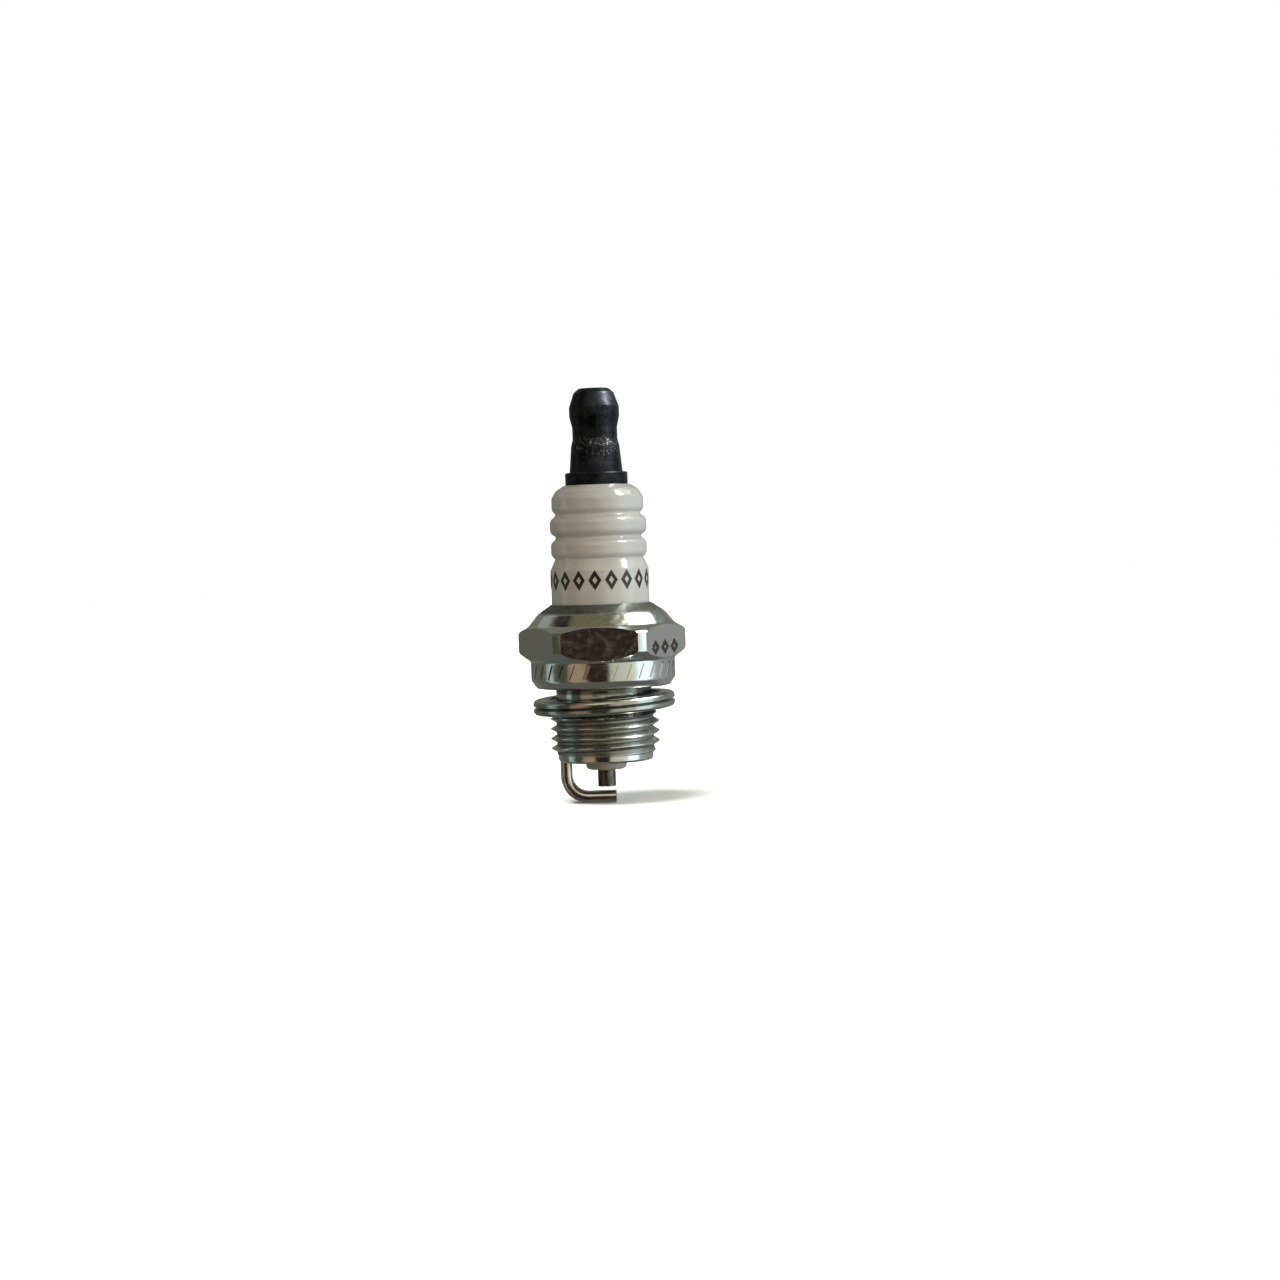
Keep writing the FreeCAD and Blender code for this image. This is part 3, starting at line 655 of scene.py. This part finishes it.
def hollow_diamond(form, across, width, tall, line):
    """A diamond drawn with one line, lying flat in the XY plane, at a distance across."""
    outer = bmesh.ops.create_circle(form, segments=4, radius=0.5)["verts"]
    bmesh.ops.scale(form, verts=outer, vec=(width, tall, 1))
    sides = list({edge for vert in outer for edge in vert.link_edges})
    pulled = bmesh.ops.extrude_edge_only(form, edges=sides)["geom"]
    inner = [piece for piece in pulled if isinstance(piece, bmesh.types.BMVert)]
    shrink = 1 - line * 2 * math.hypot(width, tall) / (width * tall)
    bmesh.ops.scale(form, verts=inner, vec=(shrink, shrink, 1))
    bmesh.ops.translate(form, verts=outer + inner, vec=(across, 0, 0))
    for edge in {edge for vert in inner for edge in vert.link_edges}:
        if edge.verts[0] in inner and edge.verts[1] in inner:
            sides.append(edge)
    bmesh.ops.subdivide_edges(form, edges=sides, cuts=3)


def thicken(form):
    """Stand flat marks upright, facing -Y, and give them the ink's thickness."""
    upright = Matrix.Rotation(math.tau / 4, 3, "X")
    bmesh.ops.rotate(form, verts=form.verts, matrix=upright)
    pulled = bmesh.ops.extrude_face_region(form, geom=form.faces[:], use_keep_orig=True)["geom"]
    front = [piece for piece in pulled if isinstance(piece, bmesh.types.BMVert)]
    bmesh.ops.translate(form, verts=front, vec=(0, -INK_THICKNESS, 0))
    bmesh.ops.recalc_face_normals(form, faces=form.faces)


ink = printed_ink()
print("made", ink.name)

# %% [markdown]
# ## Marks round the barrel
# On the real plug a pad rolls the print on to the glaze before firing. The marks are laid
# out flat in a row and then wrapped: the distance along the row becomes a turn about the
# axis, so their widths stay true on the curve.

# %% Marks round the barrel
BARREL_RADIUS = 6.25
BARREL_PRINT_MIDDLE = 13.6
BARREL_PITCH, BARREL_SHIFT = 2.1, -0.4
BARREL_DIAMOND = {"width": 1.65, "tall": 2.55, "line": 0.42}


def barrel_marks():
    form = bmesh.new()
    for number in range(-4, 5):
        hollow_diamond(form, number * BARREL_PITCH + BARREL_SHIFT, **BARREL_DIAMOND)
    thicken(form)
    for vert in form.verts:
        turn = vert.co.x / BARREL_RADIUS
        out = BARREL_RADIUS + INK_GAP - vert.co.y
        height = BARREL_PRINT_MIDDLE + vert.co.z
        vert.co = Vector((math.sin(turn) * out, -math.cos(turn) * out, height)) * MM
    return form


print_barrel = into_object(barrel_marks(), "barrel_print", ink)

# %% [markdown]
# ## Marks on one flat
# A shorter code is printed on one flat of the hexagon once the plug is plated. Its marks
# are bolder, and need no bending: they are moved against the front flat and then turned
# by one side of the hexagon.

# %% Marks on one flat
FLAT_PITCH, FLAT_SHIFT = 2.3, -0.35
FLAT_PRINT_MIDDLE = 5.0
FLAT_DIAMOND = {"width": 2.0, "tall": 1.95, "line": 0.52}


def flat_marks():
    form = bmesh.new()
    for number in (-1, 0, 1):
        hollow_diamond(form, number * FLAT_PITCH, **FLAT_DIAMOND)
    thicken(form)
    out = Vector((FLAT_SHIFT, -FLAT_DISTANCE - INK_GAP, FLAT_PRINT_MIDDLE))
    bmesh.ops.translate(form, verts=form.verts, vec=out)
    bmesh.ops.scale(form, verts=form.verts, vec=(MM, MM, MM))
    one_side = Matrix.Rotation(math.tau / 6, 3, "Z")
    bmesh.ops.rotate(form, verts=form.verts, matrix=one_side)
    return form


print_flat = into_object(flat_marks(), "flat_print", ink)

# %% [markdown]
# ## A plain studio
# A pale floor just under the strap, a white surround, and a room for the bright metal to
# mirror. The walls are one ramp of colours round the compass: dark in front, warm on the
# left, and a tall cool window on the right. Round cards hang above and below them for the
# sloping faces to mirror. Plated metal shows little of its own colour, so the room is
# what gives the shell its dark, tan, yellow and white bands.

# %% The room
def turn_share(degrees):
    """Where a compass direction lies on the room's ramp: 0.5 faces the plug's front."""
    return degrees / 360 + 0.5


def compass(turn, rise):
    """A direction from its turn to the right of the front and its rise, in degrees."""
    turn, rise = math.radians(turn), math.radians(rise)
    return (math.sin(turn) * math.cos(rise), -math.cos(turn) * math.cos(rise), math.sin(rise))


# Walls: the compass direction in degrees to the right of the front, and the colour.
WALLS = [
    (-180, (0.22, 0.22, 0.20)),
    (-125, (0.13, 0.13, 0.11)),
    (-103, (0.12, 0.12, 0.10)),
    (-98, (0.47, 0.58, 0.58)),
    (-87, (0.47, 0.58, 0.58)),
    (-82, (0.08, 0.085, 0.06)),
    (-58, (0.07, 0.074, 0.05)),
    (-54, (0.38, 0.295, 0.20)),
    (-27, (0.40, 0.30, 0.20)),
    (-23, (0.030, 0.018, 0.014)),
    (10, (0.030, 0.020, 0.016)),
    (14, (0.62, 0.60, 0.44)),
    (54, (0.82, 0.81, 0.68)),
    (60, (1.35, 1.55, 1.65)),
    (86, (1.3, 1.5, 1.6)),
    (92, (0.46, 0.48, 0.47)),
    (124, (0.32, 0.33, 0.32)),
    (180, (0.22, 0.22, 0.20)),
]
# Cards: name, direction, radius in degrees of the full colour, radius where it ends, colour.
CARDS = [
    ("ceiling", compass(0, 84), 36, 46, (0.17, 0.155, 0.085)),
    ("ceiling_right", compass(78, 62), 12, 18, (0.42, 0.405, 0.26)),
    ("high_back", compass(180, 50), 32, 46, (0.20, 0.20, 0.16)),
    ("high_front", compass(-6, 32), 20, 26, (0.95, 0.92, 0.70)),
    ("left_shade", compass(-105, 52), 9, 13, (0.03, 0.025, 0.02)),
    ("left_glow", compass(-134, 35), 8, 13, (0.34, 0.38, 0.36)),
    ("window_top", compass(109, 50), 15, 19, (3.2, 3.3, 3.2)),
    ("right_glow", compass(140, 30), 8, 14, (0.20, 0.25, 0.26)),
    ("ground", compass(0, -90), 44, 62, (0.12, 0.125, 0.11)),
]


def room_world():
    world = bpy.data.worlds.new("studio_room")
    world.use_nodes = True
    tree = world.node_tree
    tree.nodes.clear()
    direction = add(tree, "TexCoord").outputs["Generated"]
    parts = add(tree, "SeparateXYZ", {0: direction})
    backwards = times(tree, parts.outputs["Y"], -1.0)
    sideways = parts.outputs["X"]
    angle = add(tree, "Math", {0: sideways, 1: backwards}, operation="ARCTAN2").outputs[0]
    share = add(tree, "Math", {0: angle, 1: 1 / math.tau, 2: 0.5}, operation="MULTIPLY_ADD")
    wall = add(tree, "ValToRGB", {0: share.outputs[0]})
    band = wall.color_ramp
    for position, (degrees, colour) in enumerate(WALLS):
        if position < 2:
            stop = band.elements[position]
            stop.position = turn_share(degrees)
        else:
            stop = band.elements.new(turn_share(degrees))
        stop.color = (*colour, 1.0)
    seen = wall.outputs["Color"]
    for name, towards, inner, outer, colour in CARDS:
        facing = add(tree, "VectorMath", {0: direction, 1: towards}, operation="DOT_PRODUCT")
        facing.label = name
        edge = math.cos(math.radians(outer)), math.cos(math.radians(inner))
        seen = mix_colours(tree, ramp(tree, facing.outputs["Value"], *edge), seen, colour)
    straight = add(tree, "LightPath").outputs["Is Camera Ray"]
    seen = mix_colours(tree, straight, seen, (1.0, 1.0, 1.0))
    light = add(tree, "Background", {"Color": seen, "Strength": 1.0})
    output = add(tree, "OutputWorld")
    tree.links.new(light.outputs[0], output.inputs["Surface"])
    return world


bpy.context.scene.world = room_world()
bpy.context.scene.view_settings.view_transform = "Standard"
print("room with", len(WALLS), "wall colours and", len(CARDS), "cards")

# %% [markdown]
# ## Floor and lamps
# The floor is plain and pale. Its own far lamp lights nothing else, which keeps it white
# with one soft shadow and leaves the metal's reflections alone. A small soft box high on
# the right is seen only in reflections: it puts the white glints on the glaze, the cone
# and the thread.

# %% Floor and lamps
def plain_floor(height):
    grid = bmesh.new()
    bmesh.ops.create_grid(grid, x_segments=1, y_segments=1, size=1.5)
    bmesh.ops.translate(grid, verts=grid.verts, vec=(0, 0, height))
    mesh = bpy.data.meshes.new("floor")
    grid.to_mesh(mesh)
    grid.free()
    floor = bpy.data.objects.new("floor", mesh)
    finish, tree, shader = new_finish("floor_paint", 0.0, 0.9)
    place = add(tree, "TexCoord").outputs["Object"]
    grain = noise(tree, place, 4.0)
    paint = mix_colours(tree, grain, (0.90, 0.90, 0.90), (0.93, 0.93, 0.93))
    tree.links.new(paint, shader.inputs["Base Color"])
    mesh.materials.append(finish)
    bpy.context.scene.collection.objects.link(floor)
    floor.visible_glossy = False
    floor.visible_diffuse = False
    return floor


def soft_box(name, place, aim, size, power, colour):
    light = bpy.data.lights.new(name, "AREA")
    light.shape = "RECTANGLE"
    light.size, light.size_y = size
    light.energy = power
    light.color = colour
    lamp = bpy.data.objects.new(name, light)
    bpy.context.scene.collection.objects.link(lamp)
    lamp.location = place
    lamp.rotation_mode = "QUATERNION"
    lamp.rotation_quaternion = (Vector(aim) - Vector(place)).to_track_quat("-Z", "Y")
    return lamp


def even_lamp(name, from_way, strength, spread):
    """A far lamp whose light is the same everywhere, with soft shadows."""
    light = bpy.data.lights.new(name, "SUN")
    light.energy = strength
    light.angle = spread
    lamp = bpy.data.objects.new(name, light)
    bpy.context.scene.collection.objects.link(lamp)
    lamp.rotation_mode = "QUATERNION"
    lamp.rotation_quaternion = Vector(from_way).to_track_quat("Z", "Y")
    return lamp


floor = plain_floor(cad_box[0].z - 0.00005)
only_floor = bpy.data.collections.new("lit_by_floor_lamp")
only_floor.objects.link(floor)
floor_lamp = even_lamp("floor_lamp", (-0.25, -0.3, 0.85), 4.8, math.radians(34))
floor_lamp.light_linking.receiver_collection = only_floor
glint_lamp = soft_box(
    "glint_lamp", (0.33, -0.06, 0.38), (0, 0, 0.01), (0.08, 0.14), 6.0, (1, 0.99, 0.96)
)
glint_lamp.visible_diffuse = False

# %% [markdown]
# ## The camera
# A long lens, level with the terminal's end of the insulator, so that the crimp and the
# boss are seen slightly from above. It stands a little to the right of square and leans
# two degrees, which is why the plug looks tilted in the frame.

# %% Camera
CAMERA_DISTANCE = 0.3185
CAMERA_TURN = math.radians(2.2)
CAMERA_HEIGHT = 0.0186
CAMERA_LEAN = math.radians(2.0)
AIM_RIGHT, AIM_HEIGHT = 0.00483, 0.00568
LENS_MM, SENSOR_MM = 70.3, 36.0

rightwards = Vector((math.cos(CAMERA_TURN), math.sin(CAMERA_TURN), 0))
towards_plug = Vector((-math.sin(CAMERA_TURN), math.cos(CAMERA_TURN), 0))
lens = bpy.data.cameras.new("camera")
lens.lens = LENS_MM
lens.sensor_width = SENSOR_MM
lens.clip_start = 0.01
lens.clip_end = 10.0
camera = bpy.data.objects.new("camera", lens)
bpy.context.scene.collection.objects.link(camera)
camera.location = -towards_plug * CAMERA_DISTANCE + Vector((0, 0, CAMERA_HEIGHT))
aim = rightwards * AIM_RIGHT + Vector((0, 0, AIM_HEIGHT))
look = (aim - camera.location).to_track_quat("-Z", "Y").to_matrix().to_4x4()
lean = Matrix.Rotation(-CAMERA_LEAN, 4, "Z")
camera.matrix_world = Matrix.Translation(camera.location) @ look @ lean
bpy.context.scene.camera = camera
print("camera", [round(c, 4) for c in camera.location])
